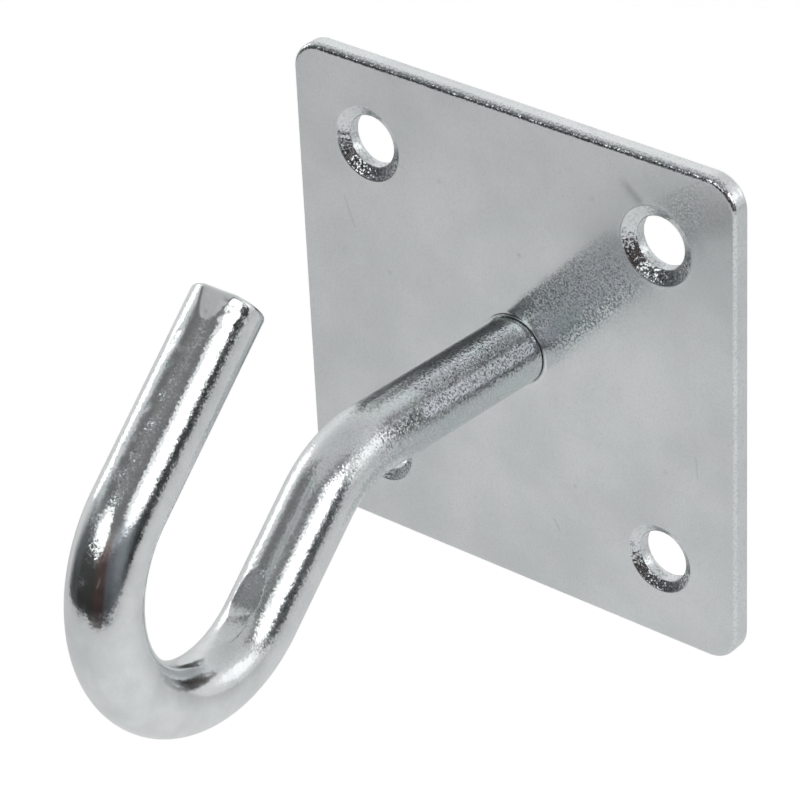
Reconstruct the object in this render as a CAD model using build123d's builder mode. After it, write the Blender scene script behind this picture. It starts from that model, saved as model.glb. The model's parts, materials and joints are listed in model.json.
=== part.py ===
"""A hook on a square screw plate: a bent round bar headed over in a sheet-steel plate.

Frame: the origin is at the centre of the plate's back face, which lies against the wall. The plate
is on the side of -Y, the hook points along -Y and opens upwards, and +Z is up.
"""
import os
from math import cos, radians, sin, tan

from build123d import *

# Plate, in millimetres
plate_side = 50.0
plate_thickness = 1.8
plate_corner_radius = 3.1
plate_front_rounding = 0.36

# Four screw holes on a square, cut from the front with a 120 degree countersink to uneven depths
screw_pitch = 32.9
screw_hole_diameter = 5.2
countersink_angle = 120.0
countersink_diameters = {
    (-1, 1): 7.5,
    (1, 1): 7.7,
    (-1, -1): 7.1,
    (1, -1): 7.0,
}

# Bar, along its centre line from the plate's front face to the tip
bar_diameter = 6.7
shank_length = 21.8
drop_bend_radius = 11.15
drop_bend_turn = 42.85
drop_length = 11.3
bow_rear_radius = 11.7
bow_rear_turn = 80.65
bow_front_radius = 12.15
bow_front_turn = 98.8
arm_length = 19.3
tip_rim_rounding = 0.4
shoulder_rim_chamfer = 0.12

# How the hook sits on the plate: its foot is a little off centre, and the bar isn't quite square
foot_x = 0.1
foot_z = 0.15
shank_rise = 4.75
shank_swing = 2.25
hook_roll = 2.65

# Tail, turned down behind the shoulder and headed over in a countersink in the plate's back
tail_diameter = 4.8
rivet_head_diameter = 6.8
rivet_head_angle = 90.0
rivet_head_recess = 0.1

os.makedirs("parts", exist_ok=True)


def foot_plane(y):
    """A plane across the tail's axis at this y, facing the wall."""
    return Plane(origin=(foot_x, y, foot_z), x_dir=(1, 0, 0), z_dir=(0, 1, 0))


# Plate: blanked from sheet, so its front edges are rolled over and its back edges are sharp
back_plane = Plane.XZ
front_plane = Plane.XZ.offset(plate_thickness)
with BuildPart() as wall_plate:
    with BuildSketch(back_plane):
        RectangleRounded(plate_side, plate_side, plate_corner_radius)
    extrude(amount=plate_thickness)
    front_face = wall_plate.faces().sort_by(Axis.Y)[0]
    fillet(front_face.edges(), radius=plate_front_rounding)
    for (side, level), rim_diameter in countersink_diameters.items():
        with Locations(front_plane):
            with Locations((side * screw_pitch / 2, level * screw_pitch / 2)):
                CounterSinkHole(
                    radius=screw_hole_diameter / 2,
                    counter_sink_radius=rim_diameter / 2,
                    counter_sink_angle=countersink_angle,
                )
    with Locations(foot_plane(0)):
        CounterSinkHole(
            radius=tail_diameter / 2,
            counter_sink_radius=rivet_head_diameter / 2,
            counter_sink_angle=rivet_head_angle,
        )
wall_plate.part.label = "wall_plate"

# Hook: the plane that the bar is bent in, with its x along the shank and its y towards the bow's open side
out_direction = Vector(0, -1, 0).rotate(Axis.X, -shank_rise).rotate(Axis.Z, shank_swing)
up_direction = (
    Vector(0, 0, 1).rotate(Axis.Y, -hook_roll).rotate(Axis.X, -shank_rise).rotate(Axis.Z, shank_swing)
)
hook_plane = Plane(
    origin=(foot_x, -plate_thickness, foot_z),
    x_dir=out_direction,
    z_dir=out_direction.cross(up_direction),
)

# The bar starts behind the plate's front face, so that the shoulder can be cut level with it
shoulder_trim = bar_diameter * tan(radians(shank_rise)) + 1.0
with BuildPart() as hook_rod:
    with BuildLine(hook_plane):
        shank = Line((-shoulder_trim, 0), (shank_length, 0))
        drop_bend = JernArc(shank @ 1, shank % 1, drop_bend_radius, -drop_bend_turn)
        drop = Line(drop_bend @ 1, drop_bend @ 1 + (drop_bend % 1) * drop_length)
        bow_rear = JernArc(drop @ 1, drop % 1, bow_rear_radius, bow_rear_turn)
        bow_front = JernArc(bow_rear @ 1, bow_rear % 1, bow_front_radius, bow_front_turn)
        arm = Line(bow_front @ 1, bow_front @ 1 + (bow_front % 1) * arm_length)
    bar_start = Plane(origin=hook_plane.origin - out_direction * shoulder_trim, z_dir=out_direction)
    with BuildSketch(bar_start):
        Circle(bar_diameter / 2)
    sweep()
    split(bisect_by=front_plane, keep=Keep.TOP)
    flat_ends = hook_rod.faces().filter_by(GeomType.PLANE).sort_by(Axis.Y)
    fillet(flat_ends[0].edges(), radius=tip_rim_rounding)
    chamfer(flat_ends[-1].edges(), length=shoulder_rim_chamfer)

    # Tail and its head, with the head hammered out to the plate's countersink and left just below the back face
    head_half_angle = radians(rivet_head_angle / 2)
    head_radius = rivet_head_diameter / 2 - rivet_head_recess * tan(head_half_angle)
    head_depth = (rivet_head_diameter - tail_diameter) / 2 / tan(head_half_angle)
    with BuildSketch(Plane(origin=(foot_x, 0, foot_z), x_dir=(1, 0, 0), z_dir=(0, 0, 1))):
        with BuildLine():
            Polyline(
                (0, -plate_thickness),
                (tail_diameter / 2, -plate_thickness),
                (tail_diameter / 2, -head_depth),
                (head_radius, -rivet_head_recess),
                (0, -rivet_head_recess),
                close=True,
            )
        make_face()
    revolve(axis=Axis((foot_x, 0, foot_z), (0, 1, 0)))
hook_rod.part.label = "hook_rod"

for piece in (wall_plate.part, hook_rod.part):
    export_step(piece, f"parts/{piece.label}.step")
    size = piece.bounding_box()
    print(piece.label, len(piece.solids()), round(piece.volume, 1), size.min, size.max)
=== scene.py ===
"""Looks of a steel plate hook: a bent round bar headed over in a blanked square plate, all bright zinc.

Metres throughout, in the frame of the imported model: the wall is the plane y = 0, the hook points along -Y
and opens upwards, and +Z is up. The bar and the plate are modelled here again from the same sizes as the
solids that they replace, with the marks of cutting, bending and riveting.
"""

import json
import random
from math import cos, exp, hypot, pi, radians, sin, tan

import bmesh
import bpy
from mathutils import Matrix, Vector, noise
from mathutils.geometry import delaunay_2d_cdt


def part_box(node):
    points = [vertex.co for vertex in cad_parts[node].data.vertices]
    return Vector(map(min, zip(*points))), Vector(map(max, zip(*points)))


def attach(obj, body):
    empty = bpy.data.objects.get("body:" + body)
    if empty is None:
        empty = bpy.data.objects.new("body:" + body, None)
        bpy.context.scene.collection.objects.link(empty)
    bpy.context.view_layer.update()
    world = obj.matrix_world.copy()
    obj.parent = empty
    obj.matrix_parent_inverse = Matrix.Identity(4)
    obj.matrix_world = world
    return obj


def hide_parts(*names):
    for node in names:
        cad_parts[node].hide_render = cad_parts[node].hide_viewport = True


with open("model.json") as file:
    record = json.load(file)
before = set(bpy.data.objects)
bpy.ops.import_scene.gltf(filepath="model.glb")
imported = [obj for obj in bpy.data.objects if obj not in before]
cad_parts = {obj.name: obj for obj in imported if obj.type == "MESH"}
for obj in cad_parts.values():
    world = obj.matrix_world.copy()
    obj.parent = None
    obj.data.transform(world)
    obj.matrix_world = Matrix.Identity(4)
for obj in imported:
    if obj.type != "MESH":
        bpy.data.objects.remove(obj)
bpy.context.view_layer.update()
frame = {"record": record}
random.seed(7)
draw = random.uniform

# Plate sizes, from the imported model
plate_low, plate_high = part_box("wall_plate")
plate_side = plate_high.x - plate_low.x
plate_thickness = plate_high.y - plate_low.y
plate_corner_radius = 0.0031
side_rounding = 0.00036
top_rounding = 0.00052
screw_mount = next(m for m in frame["record"]["mounts"] if m["name"] == "screw_holes")
screw_pitch = screw_mount["dims"]["spacing_x_mm"] / 1000
bore_radius = screw_mount["dims"]["hole_r_mm"] / 1000
countersink_angle = 120.0

# Each countersink by its side and level: its diameter at the face, and its cone's grain and frost
countersinks = {
    (-1, 1): {"diameter": 0.0075, "grain": 2.0, "frost": 0.08},
    (1, 1): {"diameter": 0.0077, "grain": 2.0, "frost": 0.08},
    (-1, -1): {"diameter": 0.0071, "grain": 2.4, "frost": 0.55},
    (1, -1): {"diameter": 0.0070, "grain": 2.0, "frost": 0.10},
}

# Bar sizes along its centre line, from the plate's front to the tip; turns are in degrees
bar_radius = 0.00335
shank_length = 0.0218
drop_bend_radius = 0.01115
drop_bend_turn = 42.85
drop_length = 0.0113
bow_rear_radius = 0.0117
bow_rear_turn = 80.65
bow_front_radius = 0.01215
bow_front_turn = 98.8
arm_length = 0.0193
tip_rim_rounding = 0.0004
shoulder_rim_chamfer = 0.00008

# How the hook stands on the plate
foot = Vector((0.0001, -plate_thickness, 0.00015))
shank_rise = radians(4.75)
shank_swing = radians(2.25)
hook_roll = radians(2.65)

# Tail and its head, behind the plate's front face
tail_radius = 0.0024
head_seat_radius = 0.0034
head_recess = 0.0001
head_depth = head_seat_radius - tail_radius

# Camera, set from the photograph: a long lens 0.4 m away, in front, above and to the right
camera_position = (0.21054, -0.26056, 0.20049)
camera_turn = (58.183, 2.328, 39.290)
camera_lens_mm = 190.9
camera_sensor_mm = 36.0
camera_shift = (-0.0184, 0.0162)


def table(names, *rows):
    """Each row of values as a dictionary with these names."""
    return [dict(zip(names.split(), row)) for row in rows]


def add_object(name, data):
    """A new object in the scene."""
    new_object = bpy.data.objects.new(name, data)
    bpy.context.scene.collection.objects.link(new_object)
    return new_object


def add_camera():
    data = bpy.data.cameras.new("photo_camera")
    data.lens = camera_lens_mm
    data.sensor_width = camera_sensor_mm
    data.shift_x, data.shift_y = camera_shift
    camera = add_object("photo_camera", data)
    camera.location = camera_position
    camera.rotation_euler = [radians(turn) for turn in camera_turn]
    bpy.context.scene.camera = camera


def empty_tree(owner):
    owner.use_nodes = True
    owner.node_tree.nodes.clear()
    return owner.node_tree


def add_node(tree, kind, inputs=None, **settings):
    """A shader node with its settings, and each input given a value or joined to another node's output."""
    node = tree.nodes.new("ShaderNode" + kind)
    for name, value in settings.items():
        setattr(node, name, value)
    for socket, value in (inputs or {}).items():
        if isinstance(value, bpy.types.NodeSocket):
            tree.links.new(value, node.inputs[socket])
        else:
            node.inputs[socket].default_value = value
    return node


def math_node(tree, operation, first, second=0.0):
    return add_node(tree, "Math", {0: first, 1: second}, operation=operation).outputs[0]


def multiply(tree, first, second):
    return math_node(tree, "MULTIPLY", first, second)


def map_range(tree, value, low, high, new_low=0.0, new_high=1.0):
    inputs = {"Value": value, "From Min": low, "From Max": high, "To Min": new_low, "To Max": new_high}
    return add_node(tree, "MapRange", inputs, interpolation_type="SMOOTHSTEP").outputs["Result"]


def colour_ramp(tree, value, stops):
    """A ramp through (place, colour) stops, eased between them."""
    node = add_node(tree, "ValToRGB", {"Fac": value})
    ramp = node.color_ramp
    ramp.interpolation = "EASE"
    for place, colour in stops[2:]:
        ramp.elements.new(place)
    for element, (place, colour) in zip(ramp.elements, stops):
        element.position = place
        element.color = (*colour, 1.0)
    return node.outputs["Color"]


def mix_colour(tree, factor, first, second):
    node = add_node(tree, "Mix", {"Factor": factor}, data_type="RGBA")
    colour_inputs = [socket for socket in node.inputs if socket.type == "RGBA"]
    for socket, value in zip(colour_inputs, (first, second)):
        if isinstance(value, bpy.types.NodeSocket):
            tree.links.new(value, socket)
        else:
            socket.default_value = (*value, 1.0)
    return next(socket for socket in node.outputs if socket.type == "RGBA")


# Studio: a pale table, pale walls at the back and sides, the room's dark side in front of the table, and
# soft panels round it. Directions are an azimuth, 0 in front and 90 to the right, and an elevation.
table_level = -0.10
table_corners = (
    (-0.28, 0.60), (-0.33, -0.26), (-0.25, -0.49), (0.00, -0.49),
    (0.13, -0.395), (0.42, -0.27), (0.75, 0.06), (0.75, 0.60),
)
table_colour = (0.80, 0.80, 0.80)
table_camera_glow = 0.48
table_metal_glow = (0.26, 0.11)
table_glow_centre = (0.10, -0.09, table_level)
table_glow_reach = (0.04, 0.28)

# Lamps as seen from the hook: azimuth, elevation, distance, half the width and half the height as angles,
# turn and radiance. The front and the right panel have a brighter core, so their light falls off outwards.
lamps = {
    "front_panel": (-8.5, 36.5, 0.85, (20.5, 14.0), -9.0, 0.64),
    "front_core": (-4.0, 36.0, 0.80, (16.5, 12.8), -9.0, 0.86),
    "right_panel": (77.0, 36.0, 0.45, (24.0, 16.5), -30.0, 0.90),
    "right_core": (79.0, 34.0, 0.42, (15.0, 9.5), -30.0, 2.20),
    "left_panel": (-91.0, 16.0, 0.60, (11.0, 10.0), 0.0, 1.60),
    "back_panel": (124.0, 21.0, 0.60, (18.0, 13.0), 0.0, 0.45),
    "far_spot": (19.0, 8.0, 0.90, (3.0, 2.0), 0.0, 0.20),
}
# The dark side's limits, and grey levels and a tint that change with the angle
dark_side_left = (-92.0, -64.0)
dark_side_right = (106.0, 118.0)
side_wall_stops = (
    (-90.0, 0.75), (-8.0, 0.80), (2.0, 0.85), (12.0, 0.95),
    (24.0, 1.00), (45.0, 0.75), (65.0, 0.66),
)
dark_side_stops = (
    (-90.0, 0.02), (-4.0, 0.03), (4.0, 0.05), (20.0, 0.06),
    (32.0, 0.26), (46.0, 0.20), (60.0, 0.24), (72.0, 0.62),
)
dark_tint_stops = (
    (-80.0, (5.60, 5.80, 5.90)),
    (-60.0, (2.60, 2.70, 2.80)),
    (-30.0, (1.10, 1.10, 1.10)),
    (4.0, (1.00, 0.96, 0.90)),
    (15.0, (1.45, 0.95, 0.86)),
    (29.0, (1.45, 0.98, 0.92)),
    (45.0, (2.50, 2.60, 2.85)),
    (72.0, (4.90, 5.30, 5.70)),
    (97.0, (0.80, 0.85, 0.85)),
)
# Elevations between which the dark side takes on its tint, downwards
tint_fade = (38.0, 22.0)
white = (1.0, 1.0, 1.0)


def towards(azimuth, elevation):
    azimuth, elevation = radians(azimuth), radians(elevation)
    return Vector((sin(azimuth) * cos(elevation), -cos(azimuth) * cos(elevation), sin(elevation)))


def add_lamp(name, azimuth, elevation, distance, half_angles, turn, radiance):
    """A soft oval panel that faces the hook."""
    size = [2 * distance * tan(radians(angle)) for angle in half_angles]
    data = bpy.data.lights.new(name, "AREA")
    data.shape = "ELLIPSE"
    data.size, data.size_y = size
    data.energy = radiance * pi * size[0] * size[1] * pi / 4
    lamp = add_object(name, data)
    direction = towards(azimuth, elevation)
    lamp.location = direction * distance
    facing = direction.to_track_quat("Z", "Y").to_matrix().to_4x4()
    facing.translation = lamp.location
    lamp.matrix_world = facing
    lamp.rotation_euler.rotate_axis("Z", radians(turn))


def add_world():
    """The room as the metal sees it; straight at the camera it is plain white."""
    world = bpy.data.worlds.new("studio")
    bpy.context.scene.world = world
    tree = empty_tree(world)
    direction = add_node(tree, "TexCoord").outputs["Generated"]
    parts = add_node(tree, "SeparateXYZ", {0: direction}).outputs
    ahead = multiply(tree, parts["Y"], -1.0)
    azimuth = math_node(tree, "ARCTAN2", parts["X"], ahead)
    elevation = math_node(tree, "ARCSINE", parts["Z"])

    def over_elevation(stops):
        place = math_node(tree, "MULTIPLY_ADD", elevation, 1 / pi)
        place.node.inputs[2].default_value = 0.5
        return colour_ramp(tree, place, [(angle / 180 + 0.5, (level,) * 3) for angle, level in stops])

    walls = over_elevation(side_wall_stops)
    dark = over_elevation(dark_side_stops)
    turn = math_node(tree, "MULTIPLY_ADD", azimuth, 0.5 / pi)
    turn.node.inputs[2].default_value = 0.5
    tint = colour_ramp(tree, turn, [(angle / 360 + 0.5, colour) for angle, colour in dark_tint_stops])
    low_part = map_range(tree, elevation, *[radians(angle) for angle in tint_fade])
    tint = mix_colour(tree, low_part, white, tint)
    dark = add_node(tree, "VectorMath", {0: dark, 1: tint}, operation="MULTIPLY").outputs[0]
    from_left = map_range(tree, azimuth, *[radians(angle) for angle in dark_side_left])
    from_right = map_range(tree, azimuth, *[radians(angle) for angle in reversed(dark_side_right)])
    in_front = multiply(tree, from_left, from_right)
    room = mix_colour(tree, in_front, walls, dark)
    straight = add_node(tree, "LightPath").outputs["Is Camera Ray"]
    colour = mix_colour(tree, straight, room, white)
    background = add_node(tree, "Background", {"Color": colour, "Strength": 1.0})
    add_node(tree, "OutputWorld", {"Surface": background.outputs[0]})


def add_floor():
    """The pale table, lit up so that the camera sees it white, and less so in the metal."""
    mesh = bpy.data.meshes.new("floor")
    build = bmesh.new()
    build.faces.new([build.verts.new((x, y, table_level)) for x, y in table_corners])
    build.to_mesh(mesh)
    build.free()
    floor = add_object("floor", mesh)
    material = bpy.data.materials.new("floor_paper")
    tree = empty_tree(material)
    paper = add_node(tree, "BsdfDiffuse", {"Color": (*table_colour, 1.0)})
    rays = add_node(tree, "LightPath").outputs
    place = add_node(tree, "NewGeometry").outputs["Position"]
    gap = add_node(tree, "VectorMath", {0: place, 1: table_glow_centre}, operation="DISTANCE")
    metal_glow = map_range(tree, gap.outputs["Value"], *table_glow_reach, *table_metal_glow)
    seen_in_metal = math_node(tree, "MAXIMUM", rays["Is Glossy Ray"], rays["Is Transmission Ray"])
    metal_part = multiply(tree, seen_in_metal, metal_glow)
    camera_part = multiply(tree, rays["Is Camera Ray"], table_camera_glow)
    strength = math_node(tree, "ADD", camera_part, metal_part)
    glow = add_node(tree, "Emission", {"Strength": strength})
    both = add_node(tree, "AddShader", {0: paper.outputs[0], 1: glow.outputs[0]})
    add_node(tree, "OutputMaterial", {"Surface": both.outputs[0]})
    mesh.materials.append(material)


# Zinc finish, shared by both pieces. Each mesh carries a grain value, how sandy its surface is, a frost
# value, how far fine frosting blurs it, and a gap value, how far it is darkened: painted shade and dirt in
# the joint between bar and plate, and dirt in the plate's marks.
zinc_dark = (0.640, 0.662, 0.668)
zinc_light = (0.728, 0.748, 0.750)
violet_bloom = (0.652, 0.674, 0.712)
green_bloom = (0.640, 0.702, 0.690)
frosted_colour = (0.900, 0.945, 0.985)
dull_colour = (0.400, 0.415, 0.430)
shade_and_dirt_colour = (0.030, 0.034, 0.036)
frost_size = 0.00005
bloom_size = 0.0045

# Each range is where an effect of a noise, the grain or the frost starts and where it is full
cloud_range = (0.3, 0.7)
bloom_range = (0.42, 0.58)
pale_range = (0.32, 0.8)
dull_range = (0.52, 0.36)
mottle_range = (0.42, 0.56)
mottle_levels = (0.60, 1.20)
matt_range = (0.4, 1.1)
matt_share = 0.85
spread_range = (0.25, 0.75)
frost_range = (0.44, 0.56)
blur_range = (0.3, 0.9)
blur_gain = 0.35
peel_range = (0.0, 0.5)
peel_levels = (0.4, 1.2)

# Grain of the parts that have one finish all over, and the frost of all that have none of their own
grains = {
    "head": 0.8, "head_rim": 0.6, "tail": 0.5, "shoulder": 1.0, "tip_rim": 0.2, "end_face": 0.9,
    "front_edge": 0.4, "top_edge": 2.1, "side": 0.25, "back_rim": 0.6, "bore": 0.7, "back": 0.25,
}
plain_frost = 0.05


def zinc_material(name, cloud_size, bloom_share, sand_size, sand_lean, sand_dark, peel_size, peel_height,
                  roughness):
    """Bright zinc: sandy facets that lean every way where the grain is up, some of them dull, a frosting
    finer than they are, and an orange peel with uneven gloss."""
    material = bpy.data.materials.new(name)
    tree = empty_tree(material)
    place = add_node(tree, "TexCoord").outputs["Object"]
    grain = add_node(tree, "Attribute", attribute_name="grain").outputs["Fac"]
    frost = add_node(tree, "Attribute", attribute_name="frost").outputs["Fac"]
    gap = add_node(tree, "Attribute", attribute_name="gap").outputs["Fac"]

    def noise_at(size, detail, rough=0.55):
        inputs = {"Vector": place, "Scale": 1 / size, "Detail": detail, "Roughness": rough}
        return add_node(tree, "TexNoise", inputs).outputs

    clouds = noise_at(cloud_size, 4.0)["Fac"]
    colour = mix_colour(tree, map_range(tree, clouds, *cloud_range), zinc_dark, zinc_light)
    bloom_hue = map_range(tree, noise_at(bloom_size, 2.0)["Fac"], *bloom_range)
    bloom = mix_colour(tree, bloom_hue, green_bloom, violet_bloom)
    colour = mix_colour(tree, multiply(tree, grain, bloom_share), colour, bloom)
    colour = mix_colour(tree, map_range(tree, frost, *pale_range), colour, frosted_colour)
    sand = noise_at(sand_size, 1.5, 0.6)
    dull = map_range(tree, sand["Fac"], *dull_range, 0.0, sand_dark)
    dull = multiply(tree, dull, grain)
    colour = mix_colour(tree, dull, colour, dull_colour)
    # The gap value makes the joint between bar and plate near black and not metallic, as painted shade and
    # dirt, and darkens the plate's marks with dirt
    colour = mix_colour(tree, gap, colour, shade_and_dirt_colour)
    mottle = map_range(tree, sand["Fac"], *mottle_range, *mottle_levels)
    frosting = multiply(tree, frost, mottle)
    metal = math_node(tree, "SUBTRACT", 1.0, gap)
    metal = math_node(tree, "SUBTRACT", metal, map_range(tree, frosting, *matt_range, 0.0, matt_share))
    spread = noise_at(cloud_size * 0.4, 3.0)["Fac"]
    gloss = map_range(tree, spread, *spread_range, *roughness)
    frosted = map_range(tree, noise_at(frost_size, 1.0)["Fac"], *frost_range)
    gloss = math_node(tree, "ADD", gloss, multiply(tree, frosted, frost))
    gloss = math_node(tree, "ADD", gloss, map_range(tree, frosting, *blur_range, 0.0, blur_gain))

    def vector_node(operation, inputs):
        return add_node(tree, "VectorMath", inputs, operation=operation).outputs[0]

    lean_amount = multiply(tree, grain, sand_lean)
    lean = vector_node("SUBTRACT", {0: sand["Color"], 1: (0.5, 0.5, 0.5)})
    lean = vector_node("SCALE", {0: lean, "Scale": lean_amount})
    facing = add_node(tree, "NewGeometry").outputs["Normal"]
    facing = vector_node("ADD", {0: facing, 1: lean})
    facing = vector_node("NORMALIZE", {0: facing})
    peel = multiply(tree, noise_at(peel_size, 3.0)["Fac"], peel_height)
    peel = multiply(tree, peel, map_range(tree, grain, *peel_range, *peel_levels))
    millimetres = multiply(tree, peel, 1000.0)
    bump_inputs = {"Height": millimetres, "Distance": 0.001, "Strength": 1.0, "Normal": facing}
    bump = add_node(tree, "Bump", bump_inputs)
    inputs = {"Base Color": colour, "Metallic": metal, "Roughness": gloss, "Normal": bump.outputs[0]}
    shader = add_node(tree, "BsdfPrincipled", inputs)
    add_node(tree, "OutputMaterial", {"Surface": shader.outputs[0]})
    return material


# A mark's bell is left out beyond this many widths
bell_reach = 3


def bell(distance, width):
    return exp(-((distance / width) ** 2))


def smooth_step(value, low, high):
    """0 below low and 1 above high, eased between; also falls where low is the larger."""
    part = min(max((value - low) / (high - low), 0.0), 1.0)
    return part * part * (3 - 2 * part)


def fade_in(value, place, fade):
    """0 before a place and 1 after it, eased over the fade on each side; a negative fade makes it fall."""
    return smooth_step(value, place - fade, place + fade)


def finish_piece(name, build, values, material, slot, node):
    """Turns the built faces into a smooth-shaded piece with its attributes, in place of the CAD node."""
    bmesh.ops.recalc_face_normals(build, faces=build.faces)
    mesh = bpy.data.meshes.new(name)
    build.to_mesh(mesh)
    build.free()
    for attribute, column in zip(("grain", "frost", "gap"), zip(*values)):
        mesh.attributes.new(attribute, "FLOAT", "POINT").data.foreach_set("value", column)
    mesh.materials.append(material)
    mesh.shade_smooth()
    piece = add_object(name, mesh)
    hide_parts(node)
    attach(piece, "root")


def spun(first, second, angle):
    return first * cos(angle) - second * sin(angle), first * sin(angle) + second * cos(angle)


def turned(vector):
    """A vector of the hook, raised and swung aside as the hook stands on the plate."""
    raised = Vector((vector[0], *spun(vector[1], vector[2], -shank_rise)))
    return Vector((*spun(raised.x, raised.y, shank_swing), raised.z))


# Hook plane: out along the shank, up towards the bow's open side, and left square to both
out = turned((0, -1, 0))
up = turned(Vector((-sin(hook_roll), 0, cos(hook_roll))))
left = out.cross(up)

# The centre line's stretches as (length, curvature), positive where it turns up
stretches = (
    (shank_length, 0.0),
    (drop_bend_radius * radians(drop_bend_turn), -1 / drop_bend_radius),
    (drop_length, 0.0),
    (bow_rear_radius * radians(bow_rear_turn), 1 / bow_rear_radius),
    (bow_front_radius * radians(bow_front_turn), 1 / bow_front_radius),
    (arm_length, 0.0),
)
bar_length = sum(length for length, curvature in stretches)


def centre_line(distance):
    """The centre line's point, its direction and its inner side this far from the plate's front."""
    across, rise, heading = 0.0, 0.0, 0.0
    for length, curvature in stretches:
        step = min(distance, length)
        if curvature:
            new_heading = heading + curvature * step
            across += (sin(new_heading) - sin(heading)) / curvature
            rise += (cos(heading) - cos(new_heading)) / curvature
            heading = new_heading
        else:
            across += step * cos(heading)
            rise += step * sin(heading)
        distance -= step
        if distance <= 0:
            break
    point = foot + out * across + up * rise
    return point, out * cos(heading) + up * sin(heading), up * cos(heading) - out * sin(heading)


# Marks on the bar. A place is a distance along it and an angle round it, 0 on the inner side of the hook
# and -90 on the right. A flat is cut square to its angle, deepest in its middle, with a slight lip on the
# side of the foot.
bend_flats = table(
    "distance reach angle depth",
    (0.0410, 0.0029, 1.0, 0.00030),
    (0.0436, 0.0038, -4.0, 0.00015),
    (0.0262, 0.0050, 172.0, 0.00006),
    (0.0700, 0.0060, -172.0, 0.00005),
    (0.0926, 0.0013, 163.0, 0.00004),
)
flat_reach_limit = 1.4
flat_angle_limit = 60.0
lip_share = 0.07
flat_lip_width = 0.00006
shear_flat = {"length": 0.0030, "angle": -167.0, "depth": 0.00036}
nodule_count = 30
tip_nodules = [
    {
        "back": draw(0.0004, 0.0036),
        "angle": draw(-152.0, -96.0),
        "height": random.choice((-1, 1)) * draw(0.000012, 0.000036),
        "width": draw(0.00014, 0.00030),
    }
    for _ in range(nodule_count)
]
pit_count = 46
pits = [
    {
        "distance": draw(0.030, bar_length - 0.002),
        "angle": draw(-180.0, 180.0),
        "depth": draw(0.000006, 0.000022),
        "width": draw(0.00012, 0.00028),
    }
    for _ in range(pit_count)
]

# Dents on the arm
pits += table(
    "distance angle depth width",
    (0.0893, -167.0, 0.000052, 0.00024),
    (0.0925, 172.0, 0.000017, 0.00045),
    (0.0866, 177.0, 0.000032, 0.00034),
    (0.0842, -170.0, 0.000029, 0.00026),
    (0.0909, -179.0, 0.000026, 0.00026),
    (0.0936, 163.0, 0.000044, 0.00055),
    (0.0878, 160.0, 0.000023, 0.00050),
    (0.0826, 168.0, 0.000019, 0.00042),
    (0.0858, -152.0, 0.000013, 0.00040),
    (0.0803, -160.0, 0.000019, 0.00034),
    (0.0914, -148.0, 0.000011, 0.00045),
    (0.0787, 172.0, 0.000019, 0.00030),
    (0.0755, -163.0, 0.000023, 0.00030),
    (0.0719, -148.0, 0.000020, 0.00022),
    (0.0705, -132.0, 0.000020, 0.00024),
    (0.0749, -130.0, 0.000019, 0.00035),
    (0.0772, -176.0, 0.000019, 0.00040),
)

# Dull spots on the arm
arm_spots = table(
    "distance angle frost grain width",
    (0.0921, -176.0, 0.25, 0.5, 0.00030),
    (0.0905, 176.0, 0.15, 0.8, 0.00060),
    (0.0893, -167.0, 0.17, 0.4, 0.00035),
    (0.0880, -172.0, 0.22, 0.9, 0.00045),
    (0.0866, 177.0, 0.62, 0.6, 0.00032),
    (0.0861, 174.0, 0.62, 0.6, 0.00028),
    (0.0852, -166.0, 0.14, 0.8, 0.00060),
    (0.0838, 178.0, 0.21, 1.0, 0.00050),
    (0.0824, -170.0, 0.17, 0.8, 0.00045),
    (0.0805, -178.0, 0.17, 1.0, 0.00070),
    (0.0786, -164.0, 0.13, 0.9, 0.00060),
    (0.0768, 176.0, 0.19, 0.8, 0.00050),
    (0.0750, -172.0, 0.15, 0.9, 0.00070),
    (0.0728, -178.0, 0.17, 0.8, 0.00050),
)


def angle_gap(first, second):
    """The turn between two angles in degrees, at most a half turn."""
    return (first - second + 180.0) % 360.0 - 180.0


# The whole surface lies this far in, so that its waves and lips stay inside the solid's box
surface_inset = 0.0000115
bar_wave_height = 0.000004
bar_wave_length = 0.0035
bar_wave_around = 1.1
fine_wave_share = 0.5
fine_wave_scale = 3.1


def bar_surface(distance, angle):
    """The bar's radius at a place on it, with its marks and the slight waves of drawn and bent bar."""
    radius = bar_radius
    for flat in bend_flats:
        off = angle_gap(angle, flat["angle"])
        along = (distance - flat["distance"]) / flat["reach"]
        if abs(along) < flat_reach_limit and abs(off) < flat_angle_limit:
            level = (bar_radius - flat["depth"] * (1 - along * along)) / cos(radians(off))
            lip = lip_share * smooth_step(along, 0.5, -0.5) * bell(level - bar_radius, flat_lip_width)
            radius = min(radius, level) + flat["depth"] * lip
    off = angle_gap(angle, shear_flat["angle"])
    along = (distance - bar_length + shear_flat["length"]) / shear_flat["length"]
    if along > 0 and abs(off) < flat_angle_limit:
        radius = min(radius, (bar_radius - shear_flat["depth"] * along) / cos(radians(off)))
    for nodule in tip_nodules:
        around = bar_radius * radians(angle_gap(angle, nodule["angle"]))
        gap = hypot(bar_length - nodule["back"] - distance, around)
        if gap < bell_reach * nodule["width"]:
            radius += nodule["height"] * bell(gap, nodule["width"])
    for pit in pits:
        along = distance - pit["distance"]
        if abs(along) < bell_reach * pit["width"]:
            gap = hypot(along, bar_radius * radians(angle_gap(angle, pit["angle"])))
            radius -= pit["depth"] * bell(gap, pit["width"])
    around = radians(angle)
    turns = cos(around) * bar_wave_around, sin(around) * bar_wave_around
    place = Vector((distance / bar_wave_length, *turns))
    waves = noise.noise(place) + fine_wave_share * noise.noise(place * fine_wave_scale)
    return radius + bar_wave_height * waves - surface_inset


# The bar's grain and frost at the foot, and how they change along it, as (start, end, change)
foot_grain = 0.75
grain_changes = ((0.018, 0.033, -0.45), (0.040, 0.056, -0.20), (0.074, 0.082, 0.15))
foot_frost = 0.16
frost_changes = ((0.018, 0.033, -0.05), (0.042, 0.058, -0.07))

# The worn flat on the drop is rougher, and the sheared facet at the tip smoother
worn_flat = {"half_width": 22.0, "grain": 0.6, "frost": 0.10}
sheared_angles = (28.0, 20.0)

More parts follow.
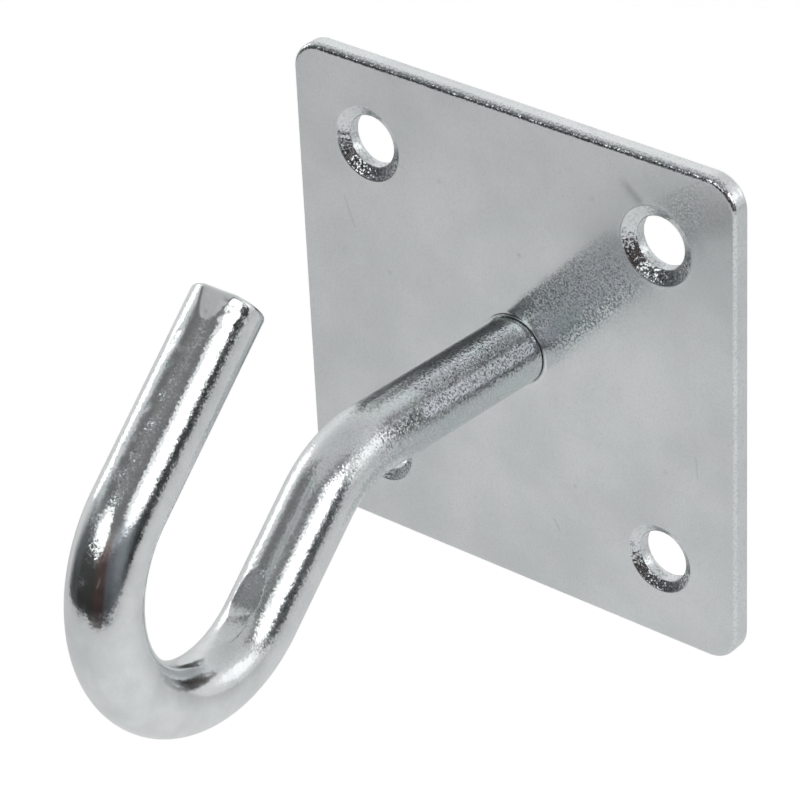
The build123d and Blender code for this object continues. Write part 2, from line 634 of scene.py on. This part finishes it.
# Strips where jaws held the shank for bending: a matt frosted one on the right, and a sandy one above it
jaw_strips = table(
    "angle half_width start end grain frost",
    (-60.0, 11.0, 0.0008, 0.0175, 2.8, 1.10),
    (-33.0, 15.0, 0.0010, 0.0165, 1.5, 0.08),
)
strip_start_fade = 0.0006
strip_end_fade = 0.0012


def along_bar(distance, first, changes):
    return first + sum(change * smooth_step(distance, start, end) for start, end, change in changes)


def bar_finish(distance, angle):
    """How sandy and how frosted the bar is: rough on the shank and the worn flat, cleaner down the hook."""
    grain = along_bar(distance, foot_grain, grain_changes)
    frost = along_bar(distance, foot_frost, frost_changes)
    worn = bend_flats[0]
    wear = bell((distance - worn["distance"]) / worn["reach"], 1.0)
    wear *= bell(angle_gap(angle, worn["angle"]), worn_flat["half_width"])
    grain += worn_flat["grain"] * wear
    frost += worn_flat["frost"] * wear
    shear_start = bar_length - shear_flat["length"]
    sheared = smooth_step(distance, shear_start, shear_start + shear_flat["length"] * 0.2)
    grain *= 1 - sheared * smooth_step(abs(angle_gap(angle, shear_flat["angle"])), *sheared_angles)
    for strip in jaw_strips:
        held = fade_in(distance, strip["start"], strip_start_fade)
        held *= fade_in(distance, strip["end"], -strip_end_fade)
        held *= bell(angle_gap(angle, strip["angle"]), strip["half_width"])
        grain += strip["grain"] * held
        frost += strip["frost"] * held
    for spot in arm_spots:
        along = distance - spot["distance"]
        if abs(along) < bell_reach * spot["width"]:
            around = radians(angle_gap(angle, spot["angle"])) * bar_radius
            share = bell(hypot(along, around), spot["width"])
            grain += spot["grain"] * share
            frost += spot["frost"] * share
    return grain, frost


# The bar's mesh: rings this far apart, and closer in some stretches: the foot, the tip and the flats
bar_segments = 144
shoulder_blend = 0.008
ring_spacing = 0.00032
close_stretches = table(
    "start end spacing",
    (0.0, 0.0006, 0.00012),
    (bar_length - 0.0050, bar_length, 0.00014),
    (0.0355, 0.0455, 0.00020),
)
least_spacing = 0.00005
rim_steps = 7

# Head of the tail: rings by their share of its radius, and hammer marks
head_parts = (0.12, 0.25, 0.38, 0.5, 0.62, 0.74, 0.85, 0.93)
head_rim_part = 0.98
head_edge = 0.00003
hammer_size = 0.0011
hammer_depth = 0.00006

# Sheared end face: rings by their share of its radius, and the lumps of its torn side
end_parts = (0.93, 0.85, 0.76, 0.66, 0.56, 0.46, 0.36, 0.26, 0.16, 0.08)
end_sink = 0.00002
torn_sink = 0.00006
torn_lumps = 0.00007
lump_sizes = (0.00055, 0.00021)


def bar_stations():
    """Distances of the rings along the bar."""
    distance = shoulder_rim_chamfer
    stations = [distance]
    end = bar_length - tip_rim_rounding
    while distance < end - least_spacing:
        close = [s["spacing"] for s in close_stretches if s["start"] < distance < s["end"]]
        distance = min(distance + (close[0] if close else ring_spacing), end)
        stations.append(distance)
    return stations


def spoke_at(inner_side, side, angle):
    """The direction at this angle round a line, from its inner side towards the other side given."""
    return inner_side * cos(radians(angle)) + side * sin(radians(angle))


def join_rows(build, row, next_row):
    """Faces between two closed rows with as many points."""
    count = len(row)
    for index in range(count):
        after = (index + 1) % count
        build.faces.new((row[index], row[after], next_row[after], next_row[index]))


def build_bar():
    build = bmesh.new()
    values, rows = [], []
    angles = [360.0 * index / bar_segments for index in range(bar_segments)]

    def add_row(points, grain=0.0, frost=plain_frost, gap=0.0, finishes=None):
        rows.append([build.verts.new(point) for point in points])
        values.extend((*finish, gap) for finish in finishes or [(grain, frost)] * len(points))

    # Tail and head: rings square to Y, hammered at the back
    inner = Vector((up.x, 0, up.z)).normalized()
    side = Vector((left.x, 0, left.z)).normalized()

    def tail_ring(radius, y, hammered=0.0):
        points = []
        for angle in angles:
            point = Vector((foot.x, y, foot.z)) + spoke_at(inner, side, angle) * radius
            if hammered:
                dimple = noise.noise(Vector((point.x, 0, point.z)) / hammer_size)
                point.y += hammered * (dimple - 0.75)
            points.append(point)
        return points

    head_radius = head_seat_radius - head_recess
    head_face = -head_recess
    for part in head_parts:
        add_row(tail_ring(head_radius * part, head_face + head_edge, hammer_depth), grains["head"])
    add_row(tail_ring(head_radius * head_rim_part, head_face), grains["head"])
    add_row(tail_ring(head_radius, head_face - head_edge), grains["head_rim"])
    add_row(tail_ring(tail_radius, -head_depth), grains["tail"])
    add_row(tail_ring(tail_radius, -plate_thickness), grains["tail"])

    # Shoulder, cut level with the plate's front, so that each line along the bar has a start of its own
    foot_direction, foot_inner = centre_line(0.0)[1:]
    starts = [-bar_radius * spoke_at(foot_inner, left, angle).y / foot_direction.y for angle in angles]

    def bar_ring(distance, radius_change=0.0):
        blend = smooth_step(distance, shoulder_blend, 0.0)
        points = []
        for angle, start in zip(angles, starts):
            place = distance + start * blend
            point, direction, inner_side = centre_line(max(place, 0.0))
            if place < 0:
                point = point + direction * place
            spoke = spoke_at(inner_side, left, angle)
            points.append(point + spoke * (bar_surface(distance, angle) + radius_change))
        return points

    # The shoulder's chamfer is darkened in full, as painted shade and dirt in the joint with the plate
    for place, sink in ((0.0, 1.2), (0.45, 0.6)):
        ring = bar_ring(shoulder_rim_chamfer * place, -shoulder_rim_chamfer * sink)
        add_row(ring, grains["shoulder"], gap=1.0)
    for distance in bar_stations():
        add_row(bar_ring(distance), finishes=[bar_finish(distance, angle) for angle in angles])

    # Tip: a rounded rim, then the sheared end face
    for step in range(1, rim_steps + 1):
        turn = radians(90.0 * step / rim_steps)
        distance = bar_length - tip_rim_rounding * (1 - sin(turn))
        add_row(bar_ring(distance, -tip_rim_rounding * (1 - cos(turn))), grains["tip_rim"])
    end_point, end_direction, end_inner = centre_line(bar_length)
    end_radius = bar_radius - tip_rim_rounding
    for part in end_parts:
        points = []
        for angle in angles:
            spoke = spoke_at(end_inner, left, angle)
            point = end_point + spoke * end_radius * part
            torn = smooth_step(spoke.dot(left) * part, 0.35, -0.25)
            lumps = noise.noise(point / lump_sizes[0]) + 0.5 * noise.noise(point / lump_sizes[1])
            sink = end_sink + torn * (torn_sink - torn_lumps * lumps) * smooth_step(part, 1.0, 0.8)
            points.append(point - end_direction * max(sink, 0.0))
        add_row(points, grains["end_face"])

    for row, next_row in zip(rows, rows[1:]):
        join_rows(build, row, next_row)
    for row in (rows[0], rows[-1]):
        centre = build.verts.new(sum((vert.co for vert in row), Vector()) / bar_segments)
        values.append((grains["head"], plain_frost, 0.0))
        for index in range(bar_segments):
            build.faces.new((row[index], row[(index + 1) % bar_segments], centre))
    return build, values


# Plate marks, each with its depth and width. A place is its x and z on the front face.
dings = table(
    "place depth width",
    ((0.0010, 0.0105), 0.000018, 0.00022),
    ((-0.0145, 0.0035), 0.000014, 0.00020),
    ((0.0068, -0.0122), 0.000012, 0.00022),
    ((0.0172, -0.0068), 0.000012, 0.00018),
    ((-0.0080, 0.0152), 0.000010, 0.00024),
    ((0.0095, 0.0190), 0.000012, 0.00020),
)
scratches = table(
    "start end depth width",
    ((0.0135, 0.0213), (0.0147, 0.0204), 0.000017, 0.00040),
    ((-0.0196, 0.0100), (-0.0186, 0.0071), 0.000007, 0.00008),
    ((-0.0135, 0.0158), (-0.0121, 0.0152), 0.000006, 0.00008),
    ((0.0042, -0.0168), (0.0049, -0.0178), 0.000008, 0.00009),
    ((0.0206, -0.0040), (0.0208, -0.0062), 0.000007, 0.00008),
)

# The share of dirt in a mark for each metre of its depth, how much of that a ding takes, and how far from
# the bar the joint's painted shade and dirt starts to show and is full
mark_dirt = 14000.0
ding_dirt = 0.5
joint_shade_and_dirt = (0.00005, 0.00001)

# The front face's waves as (height, length), and the lips round its holes as (height, place, width) bells
front_waves = ((0.000010, 0.011), (0.000003, 0.004))
foot_bells = ((0.000055, 0.00020, 0.00015), (-0.000030, 0.0016, 0.0013))
rim_bells = ((0.000012, 0.00012, 0.00014), (0.000010, 0.0, 0.0009))
rim_bell_reach = 0.003

# Grain of the front face, more in the patches, each between two distances from the foot
front_grain = 0.15
# The patches lie along the shank's mirror image in the plate as the camera sees it: their bumps are
# sandiness, and their dark and tinted specks are painted reflection
patch_direction = 47.0
sandy_patches_with_painted_reflection = table(
    "start end half_width grain",
    (0.0040, 0.0180, 0.0029, 1.2),
    (0.0275, 0.0300, 0.0018, 0.7),
)
patch_side_fade = 0.2
patch_start_fade = 0.0010
patch_end_fade = 0.0025
front_frost = (0.06, 0.26)
finish_reach = (0.007, 0.017)
edge_frost = 0.10
top_levels = (0.2, 0.95)

# Sides, smooth where they were sheared and torn behind that, and the slight dents of the back
side_depths = (0.15, 0.30, 0.45, 0.55, 0.65, 0.75, 0.85, 0.95)
torn_depths = (0.35, 0.6)
torn_dent = 0.000012
torn_lump = 0.000014
side_lump_size = 0.0006
back_chamfer = 0.00004
back_dent_size = 0.009
back_dent_depth = 0.000008

# Chatter of the countersink tool, strongest towards one direction round each hole
chatter_height = 0.000012
chatter_direction = 260.0
chatter_fade = (-0.20, 0.20)
smooth_share = 0.2
chatter_waves = ((23, 1, 1.0), (31, 2, 0.8))
chatter_noise = 1.7
chatter_size = 0.00021
chatter_drift = 0.0004

# The plate's mesh: spacings, rings round the holes and marks, and how clear of them the other points stay
front_spacing = 0.00042
back_spacing = 0.00105
corner_steps = 18
edge_steps = 104
hole_segments = 144
cone_steps = 12
bore_parts = (0.04, 0.35, 0.65, 0.94)
front_insets = (0.00008, 0.00024)
rim_rings = (0.00005, 0.00012, 0.00020, 0.00030, 0.00045, 0.00065)
foot_rings = (-0.0002, -0.0001, 0.0, 0.00004, 0.00008, 0.00012, 0.00016, 0.0002, 0.00025, 0.0003,
              0.00036, 0.00043, 0.00052, 0.00065)
ding_rings = (0.4, 0.8, 1.2, 1.7, 2.3)
ding_segments = 18
scratch_lines = (-2.2, -1.3, -0.65, 0.0, 0.65, 1.3, 2.2)
scratch_steps = 18
scratch_overrun = 3
front_margin = 0.00040
hole_margin = 0.00085
mark_margin = 2.9
back_rim_inset = 0.00016
seat_rim_inset = 0.00012
back_edge_margin = 0.0006
back_margin = 0.0005
keep_share = 0.999
back_keep_share = 1.014


def scratch_gap(scratch, x, z):
    """The distance from a place on the front face to a scratch's line."""
    start, end = Vector(scratch["start"]), Vector(scratch["end"])
    run = end - start
    part = min(max((Vector((x, z)) - start).dot(run) / run.length_squared, 0.0), 1.0)
    return (start + run * part - Vector((x, z))).length


def ding_gap(ding, x, z):
    return hypot(x - ding["place"][0], z - ding["place"][1])


def foot_gap(x, z):
    return hypot(x - foot.x, z - foot.z)


def swell(distance, bells):
    """The height of several (height, place, width) bells at this distance."""
    return sum(height * bell(distance - place, width) for height, place, width in bells)


def front_height(x, z):
    """How far the front face stands proud of its plane: slight waves, marks and lips round its holes."""
    place = Vector((x, z, 0.0))
    height = sum(wave_height * noise.noise(place / length) for wave_height, length in front_waves)
    height += swell(foot_gap(x, z) - bar_radius, foot_bells)
    for (side, level), countersink in countersinks.items():
        from_centre = hypot(x - side * screw_pitch / 2, z - level * screw_pitch / 2)
        from_rim = from_centre - countersink["diameter"] / 2
        if from_rim < rim_bell_reach:
            height += swell(from_rim, rim_bells)
    gaps = [(ding, ding_gap(ding, x, z)) for ding in dings]
    gaps += [(scratch, scratch_gap(scratch, x, z)) for scratch in scratches]
    for mark, gap in gaps:
        if gap < bell_reach * mark["width"]:
            height -= mark["depth"] * bell(gap, mark["width"])
    return height


def dirt(x, z):
    """The share of dirt in the scratches and dings, more in the deeper ones."""
    depths = [s["depth"] * bell(scratch_gap(s, x, z), s["width"]) for s in scratches]
    depths += [ding_dirt * d["depth"] * bell(ding_gap(d, x, z), d["width"]) for d in dings]
    return mark_dirt * max(depths)


def sandiness(x, z):
    """The front face's grain: slight, and strong in the patches up to the right of the foot, where the
    shank is mirrored, so that their specks are partly painted reflection.
    """
    away = Vector((x - foot.x, z - foot.z))
    run = Vector((cos(radians(patch_direction)), sin(radians(patch_direction))))
    along, across = away.dot(run), abs(away.cross(run))
    grain = front_grain
    for patch in sandy_patches_with_painted_reflection:
        share = fade_in(across, patch["half_width"], -patch["half_width"] * patch_side_fade)
        share *= fade_in(along, patch["start"], patch_start_fade)
        share *= fade_in(along, patch["end"], -patch_end_fade)
        grain += patch["grain"] * share
    return grain


def edge_rounding(level):
    """How far the front edge is rounded where its outward direction has this upward part."""
    return side_rounding + (top_rounding - side_rounding) * smooth_step(level, *top_levels)


def outline(rounded=0.0, inset=0.0):
    """The plate's rounded square as (x, z, rounding) points that match for every inset; rounded is the
    share of the edge's own rounding that is taken off as well."""
    centre = plate_side / 2 - plate_corner_radius
    points = []

    def add_point(middle_x, middle_z, angle):
        rounding = edge_rounding(sin(angle))
        radius = plate_corner_radius - rounded * rounding - inset
        points.append((middle_x + radius * cos(angle), middle_z + radius * sin(angle), rounding))

    middles = ((centre, centre), (-centre, centre), (-centre, -centre), (centre, -centre))
    for quarter, middle in enumerate(middles):
        for step in range(corner_steps):
            add_point(*middle, pi / 2 * (quarter + step / corner_steps))
        next_middle = middles[(quarter + 1) % 4]
        for step in range(edge_steps):
            part = step / edge_steps
            middle_x = middle[0] + (next_middle[0] - middle[0]) * part
            middle_z = middle[1] + (next_middle[1] - middle[1]) * part
            add_point(middle_x, middle_z, pi / 2 * (quarter + 1))
    return points


def grid(spacing, first=0, shift=0.0):
    """Places all over the plate in rows and columns, with every other row shifted."""
    count = int(plate_side / spacing)
    for row in range(first, count + 1 - first):
        for column in range(first, count + 1 - first):
            x = (column / count - 0.5) * plate_side + (shift if row % 2 else -shift)
            yield x, (row / count - 0.5) * plate_side


def flat_points(points):
    return [point[:2] for point in points]


def circle(centre, radius, segments=hole_segments):
    turns = [2 * pi * index / segments for index in range(segments)]
    return [(centre[0] + radius * cos(turn), centre[1] + radius * sin(turn)) for turn in turns]


def chatter_at(turn, part, x, z, hole_number):
    """How far tool chatter lifts a countersink's cone at this turn round it and part of its depth."""
    waves = sum(share * sin(turn * count + phase * hole_number) for count, phase, share in chatter_waves)
    return waves + chatter_noise * noise.noise(Vector((x, z, part * chatter_drift)) / chatter_size)


def fill_face(loops, extra_points, keep):
    """Triangles between loops of points, with extra points among them, and the loops' new indices."""
    points, edges, loop_ids = [], [], []
    for loop in loops:
        first = len(points)
        points.extend(loop)
        loop_ids.append(list(range(first, first + len(loop))))
        edges.extend((first + i, first + (i + 1) % len(loop)) for i in range(len(loop)))
    points.extend(extra_points)
    result = delaunay_2d_cdt([Vector(point) for point in points], edges, [], 0, 1e-9)
    found, _, triangles, origins = result[:4]
    new_index = {old: new for new, sources in enumerate(origins) for old in sources}
    kept = []
    for triangle in triangles:
        middle = sum((found[corner] for corner in triangle), Vector((0, 0))) / 3
        if keep(middle.x, middle.y):
            kept.append(triangle)
    return found, kept, [[new_index[old] for old in ids] for ids in loop_ids]


def inside_outline(x, z, rounded=0.0, inset=0.0):
    """Whether a place lies inside the outline of the same settings."""
    centre = plate_side / 2 - plate_corner_radius
    over_x, over_z = max(abs(x) - centre, 0.0), max(abs(z) - centre, 0.0)
    gap = hypot(over_x, over_z)
    if gap == 0:
        return True
    level = over_z / gap if z > 0 else -over_z / gap
    return gap < plate_corner_radius - rounded * edge_rounding(level) - inset


def build_plate():
    build = bmesh.new()
    values = []

    def add_vert(point, grain, frost=plain_frost, gap=0.0):
        values.append((grain, frost, gap))
        return build.verts.new(point)

    def add_row(row, points, grain):
        """Joins a row to new points with one grain, and returns their row."""
        next_row = [add_vert(point, grain) for point in points]
        join_rows(build, row, next_row)
        return next_row

    def level_ring(centre, radius, y, segments=hole_segments):
        return [(x, y, z) for x, z in circle(centre, radius, segments)]

    holes = [
        (Vector((side * screw_pitch / 2, level * screw_pitch / 2)), countersink["diameter"] / 2)
        for (side, level), countersink in countersinks.items()
    ]
    foot_place = Vector((foot.x, foot.z))

    def clear_of_holes(x, z, foot_radius, hole_radii):
        """Whether a place lies outside a circle round the foot and one round each screw hole."""
        if foot_gap(x, z) <= foot_radius:
            return False
        return all(hypot(x - c.x, z - c.y) > radius for (c, _), radius in zip(holes, hole_radii))

    # Front face
    kept_radii = [radius * keep_share for _, radius in holes]

    def front_keep(x, z):
        inside = inside_outline(x, z, rounded=1.0)
        return inside and clear_of_holes(x, z, tail_radius * keep_share, kept_radii)

    loops = [flat_points(outline(rounded=1.0))]
    loops += [circle(centre, radius) for centre, radius in holes]
    loops.append(circle(foot_place, tail_radius, bar_segments))
    extra = []
    for inset in front_insets:
        extra += flat_points(outline(rounded=1.0, inset=inset))
    for centre, radius in holes:
        for step in rim_rings:
            extra += circle(centre, radius + step)
    for step in foot_rings:
        extra += circle(foot_place, bar_radius + step, bar_segments)
    for ding in dings:
        for ring in ding_rings:
            extra += circle(ding["place"], ding["width"] * ring, ding_segments)
        extra.append(ding["place"])
    for scratch in scratches:
        start, end = Vector(scratch["start"]), Vector(scratch["end"])
        run = (end - start).normalized()
        across = Vector((-run.y, run.x)) * scratch["width"]
        for offset in scratch_lines:
            for step in range(-scratch_overrun, scratch_steps + scratch_overrun + 1):
                extra.append(tuple(start + (end - start) * (step / scratch_steps) + across * offset))
    clear_radii = [radius + hole_margin for _, radius in holes]
    for x, z in grid(front_spacing, shift=front_spacing * 0.25):
        clear = inside_outline(x, z, rounded=1.0, inset=front_margin)
        clear = clear and clear_of_holes(x, z, bar_radius + hole_margin, clear_radii)
        clear = clear and all(ding_gap(ding, x, z) > mark_margin * ding["width"] for ding in dings)
        clear = clear and all(scratch_gap(s, x, z) > mark_margin * s["width"] for s in scratches)
        if clear:
            extra.append((x, z))
    found, triangles, loop_ids = fill_face(loops, extra, front_keep)
    front = {}
    for corner in sorted({corner for triangle in triangles for corner in triangle}):
        x, z = found[corner]
        from_foot = foot_gap(x, z) - bar_radius
        # Close to the bar the face is darkened as painted shade and dirt in the joint, and the marks with
        # dirt
        gap = max(smooth_step(from_foot, *joint_shade_and_dirt), dirt(x, z))
        away = smooth_step(from_foot, *finish_reach)
        frost = front_frost[0] + (front_frost[1] - front_frost[0]) * away
        height = plate_thickness + front_height(x, z)
        front[corner] = add_vert((x, -height, z), sandiness(x, z), frost, gap)
    for triangle in triangles:
        build.faces.new([front[corner] for corner in triangle])

    # Rounded front edge, sides with the marks of blanking, and the back edge
    outer = [front[index] for index in loop_ids[0]]
    for step in range(1, rim_steps + 1):
        turn = radians(90.0 * step / rim_steps)
        row = []
        for x, z, rounding in outline(rounded=1 - sin(turn)):
            y = -plate_thickness + rounding * (1 - cos(turn))
            top_share = (rounding - side_rounding) / (top_rounding - side_rounding)
            grain = grains["front_edge"] + (grains["top_edge"] - grains["front_edge"]) * top_share
            row.append(add_vert((x, y, z), grain, edge_frost))
        join_rows(build, outer, row)
        outer = row
    for depth in side_depths:
        points = []
        torn = smooth_step(depth, *torn_depths)
        for x, z, rounding in outline():
            lumps = noise.noise(Vector((x / side_lump_size, z / side_lump_size, depth * 3))) + 0.4
            edge_dent = (torn_dent + torn_lump * max(lumps, 0.0)) * torn
            shift = Vector((x, z)).normalized() * edge_dent
            points.append((x - shift.x, -(plate_thickness - rounding) * (1 - depth), z - shift.y))
        outer = add_row(outer, points, grains["side"])
    back_edge = [(x, 0.0, z) for x, z, _ in outline(inset=back_chamfer)]
    back_edge = add_row(outer, back_edge, grains["back_rim"])

    # Countersinks with chatter marks, and the bores behind them
    back_loops = [back_edge]
    cone_slope = tan(radians(countersink_angle / 2))
    for hole_number, ((centre, radius), countersink) in enumerate(zip(holes, countersinks.values())):
        row = [front[index] for index in loop_ids[1 + hole_number]]
        depth = (radius - bore_radius) / cone_slope
        for step in range(1, cone_steps + 1):
            part = step / cone_steps
            ring = circle(centre, radius + (bore_radius - radius) * part)
            next_row = []
            for index, (x, z) in enumerate(ring):
                turn = index / hole_segments * 2 * pi
                chatter = chatter_at(turn, part, x, z, hole_number)
                low_side = smooth_step(cos(turn - radians(chatter_direction)), *chatter_fade)
                rough = smooth_share + (1 - smooth_share) * low_side
                y = -plate_thickness + depth * part + rough * chatter * chatter_height * sin(pi * part)
                next_row.append(add_vert((x, y, z), rough * countersink["grain"], countersink["frost"]))
            join_rows(build, row, next_row)
            row = next_row
        for part in bore_parts:
            y = -(plate_thickness - depth) * (1 - part)
            row = add_row(row, level_ring(centre, bore_radius, y), grains["bore"])
        rim = level_ring(centre, bore_radius + back_chamfer, 0.0)
        back_loops.append(add_row(row, rim, grains["back_rim"]))

    # Seat of the tail's head, from the front face's inner loop to the back
    row = [front[index] for index in loop_ids[-1]]
    seat = (
        (tail_radius, -head_depth),
        (head_seat_radius - back_chamfer, -back_chamfer),
        (head_seat_radius, 0.0),
    )
    for radius, y in seat:
        row = add_row(row, level_ring(foot_place, radius, y, bar_segments), grains["back_rim"])
    back_loops.append(row)

    # Back face, with points close round each rim that keep the shading flat up to the sharp edges
    back_radii = [bore_radius * back_keep_share] * len(holes)

    def back_keep(x, z):
        inside = inside_outline(x, z, inset=back_chamfer)
        return inside and clear_of_holes(x, z, head_seat_radius * keep_share, back_radii)

    loops = [[(vert.co.x, vert.co.z) for vert in loop] for loop in back_loops]
    extra = flat_points(outline(inset=back_rim_inset))
    extra += circle(foot_place, head_seat_radius + seat_rim_inset, bar_segments)
    for centre, _ in holes:
        extra += circle(centre, bore_radius + back_rim_inset)
    clear_radii = [bore_radius + back_margin] * len(holes)
    for x, z in grid(back_spacing, first=1):
        clear = inside_outline(x, z, inset=back_edge_margin)
        if clear and clear_of_holes(x, z, head_seat_radius + back_margin, clear_radii):
            extra.append((x, z))
    found, triangles, loop_ids = fill_face(loops, extra, back_keep)
    back = {}
    for ids, loop in zip(loop_ids, back_loops):
        for index, vert in zip(ids, loop):
            back[index] = vert
    for triangle in triangles:
        for corner in triangle:
            if corner not in back:
                x, z = found[corner]
                dent = max(noise.noise(Vector((x, z, 3.0)) / back_dent_size) + 0.2, 0.0) * back_dent_depth
                back[corner] = add_vert((x, -dent, z), grains["back"])
        build.faces.new([back[corner] for corner in triangle])
    return build, values


bpy.context.scene.view_settings.view_transform = "Standard"
add_camera()
add_world()
add_floor()
for lamp_name, lamp_setting in lamps.items():
    add_lamp(lamp_name, *lamp_setting)

bar_zinc = zinc_material(
    "bar_zinc", cloud_size=0.0026, bloom_share=0.75, sand_size=0.00020, sand_lean=0.80, sand_dark=0.60,
    peel_size=0.0009, peel_height=0.000026, roughness=(0.10, 0.15))
plate_zinc = zinc_material(
    "plate_zinc", cloud_size=0.010, bloom_share=0.40, sand_size=0.00022, sand_lean=0.50, sand_dark=1.0,
    peel_size=0.0012, peel_height=0.000004, roughness=(0.12, 0.16))
finish_piece("hook_bar", *build_bar(), bar_zinc, "zinc_bar", "hook_rod")
finish_piece("screw_plate", *build_plate(), plate_zinc, "zinc_sheet", "wall_plate")
